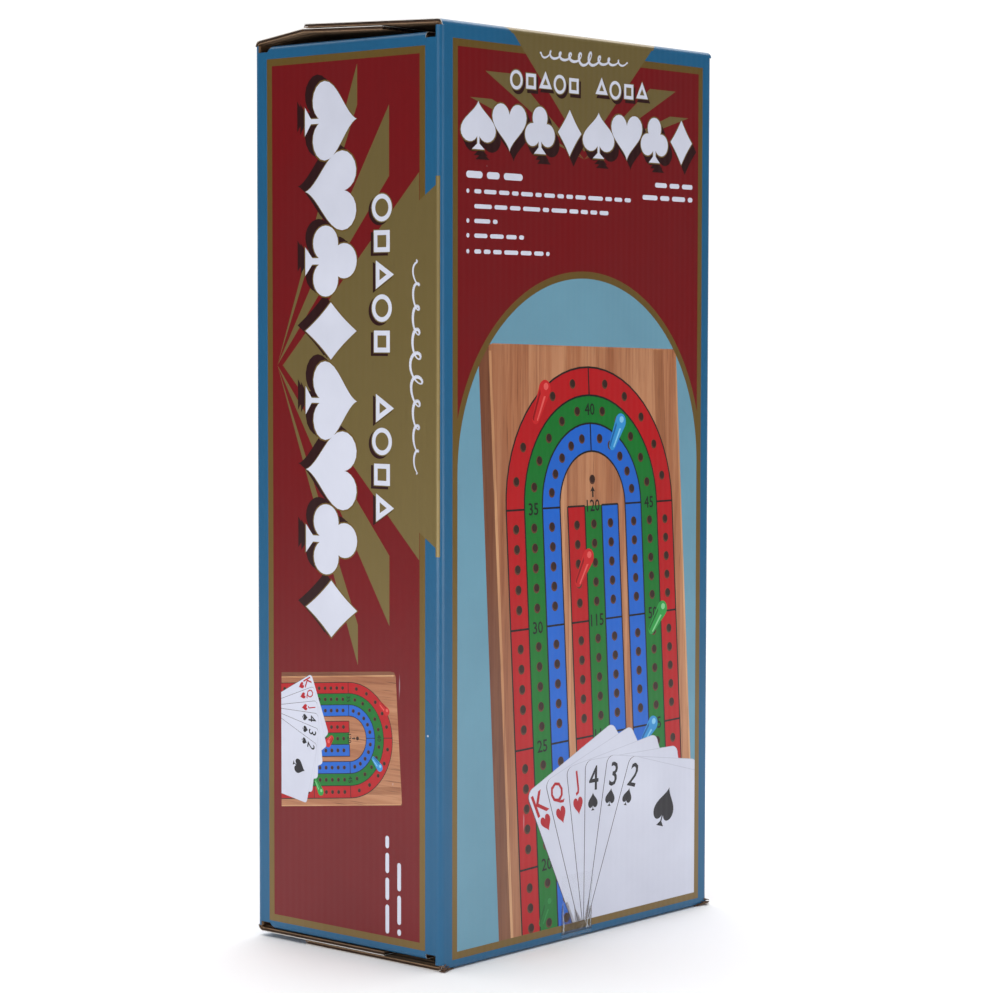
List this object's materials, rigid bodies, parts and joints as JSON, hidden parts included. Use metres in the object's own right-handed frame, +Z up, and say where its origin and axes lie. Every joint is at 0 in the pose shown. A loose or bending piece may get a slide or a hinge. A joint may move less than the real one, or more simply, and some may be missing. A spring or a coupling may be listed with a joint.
{
  "type": "boxed cribbage set",
  "caption": "Boxed cribbage set: a tall printed carton with top flaps that open as a three-track wooden cribbage board, with peg store and swivel cover, slides up out of it",
  "frame": {"origin": "centre of the footprint, on the surface the carton stands on", "axes": "+Z up along the tall side, wide printed front faces -Y, +X to the right of someone who looks at that front"},
  "size_m": [0.167, 0.0991, 0.359],
  "materials": {
    "printed_board": "glossy litho print laminated on E-flute corrugated board",
    "kraft_board": "plain brown E-flute corrugated board",
    "clear_tape": "clear packing tape",
    "printed_card": "varnished card",
    "card_stock": "linen-finished playing card",
    "leaflet_paper": "uncoated paper",
    "oiled_oak": "satin lacquer with painted tracks",
    "cover_steel": "zinc plated, brushed",
    "screw_steel": "bright zinc",
    "peg_red_plastic": "translucent moulded plastic",
    "peg_green_plastic": "translucent moulded plastic",
    "peg_blue_plastic": "translucent moulded plastic"
  },
  "bodies": {
    "carton": {"front_panel": "printed_board", "back_panel": "printed_board", "left_panel": "printed_board", "right_panel": "printed_board", "glue_tab": "kraft_board", "bottom_outer_flap": "printed_board", "bottom_inner_flap": "printed_board", "bottom_dust_flap_left": "printed_board", "bottom_dust_flap_right": "printed_board", "closing_tape": "clear_tape", "insert_platform": "kraft_board", "card_divider": "kraft_board", "card_box": "printed_card", "playing_cards": "card_stock", "rules_leaflet": "leaflet_paper"},
    "board": {"cribbage_board": "oiled_oak", "cover_screw": "screw_steel", "peg_red_1": "peg_red_plastic", "peg_red_2": "peg_red_plastic", "peg_red_3": "peg_red_plastic", "peg_green_1": "peg_green_plastic", "peg_green_2": "peg_green_plastic", "peg_green_3": "peg_green_plastic", "peg_blue_1": "peg_blue_plastic", "peg_blue_2": "peg_blue_plastic", "peg_blue_3": "peg_blue_plastic"},
    "cover": {"storage_cover": "cover_steel"},
    "outer_flap": {"top_outer_flap": "printed_board"},
    "inner_flap": {"top_inner_flap": "printed_board"},
    "dust_flap_left": {"top_dust_flap_left": "printed_board"},
    "dust_flap_right": {"top_dust_flap_right": "printed_board"}
  },
  "joints": [
    {"name": "board_slide", "type": "slide", "parent": "carton", "child": "board", "axis": [0, 0, 1], "range_m": [0, 0.144]},
    {"name": "cover_pivot", "type": "hinge", "parent": "board", "child": "cover", "pos_m": [0, -0.022, 0.2844], "axis": [0, 1, 0], "range_deg": [-90, 90]},
    {"name": "outer_flap_fold", "type": "hinge", "parent": "carton", "child": "outer_flap", "pos_m": [0, -0.0495, 0.3537], "axis": [1, 0, 0], "range_deg": [0, 173.5]},
    {"name": "inner_flap_fold", "type": "hinge", "parent": "carton", "child": "inner_flap", "pos_m": [0, 0.0495, 0.3519], "axis": [-1, 0, 0], "range_deg": [0, 66.2]},
    {"name": "dust_flap_left_fold", "type": "hinge", "parent": "carton", "child": "dust_flap_left", "pos_m": [-0.0835, 0, 0.3493], "axis": [0, -1, 0], "range_deg": [0, 36.5]},
    {"name": "dust_flap_right_fold", "type": "hinge", "parent": "carton", "child": "dust_flap_right", "pos_m": [0.0835, 0, 0.3493], "axis": [0, 1, 0], "range_deg": [0, 36.5]}
  ],
  "couplings": [
    {"joint": "outer_flap_fold", "follows": "board_slide", "rad_per_m": 21},
    {"joint": "inner_flap_fold", "follows": "board_slide", "rad_per_m": 8},
    {"joint": "dust_flap_left_fold", "follows": "board_slide", "rad_per_m": 4.4},
    {"joint": "dust_flap_right_fold", "follows": "board_slide", "rad_per_m": 4.4}
  ]
}
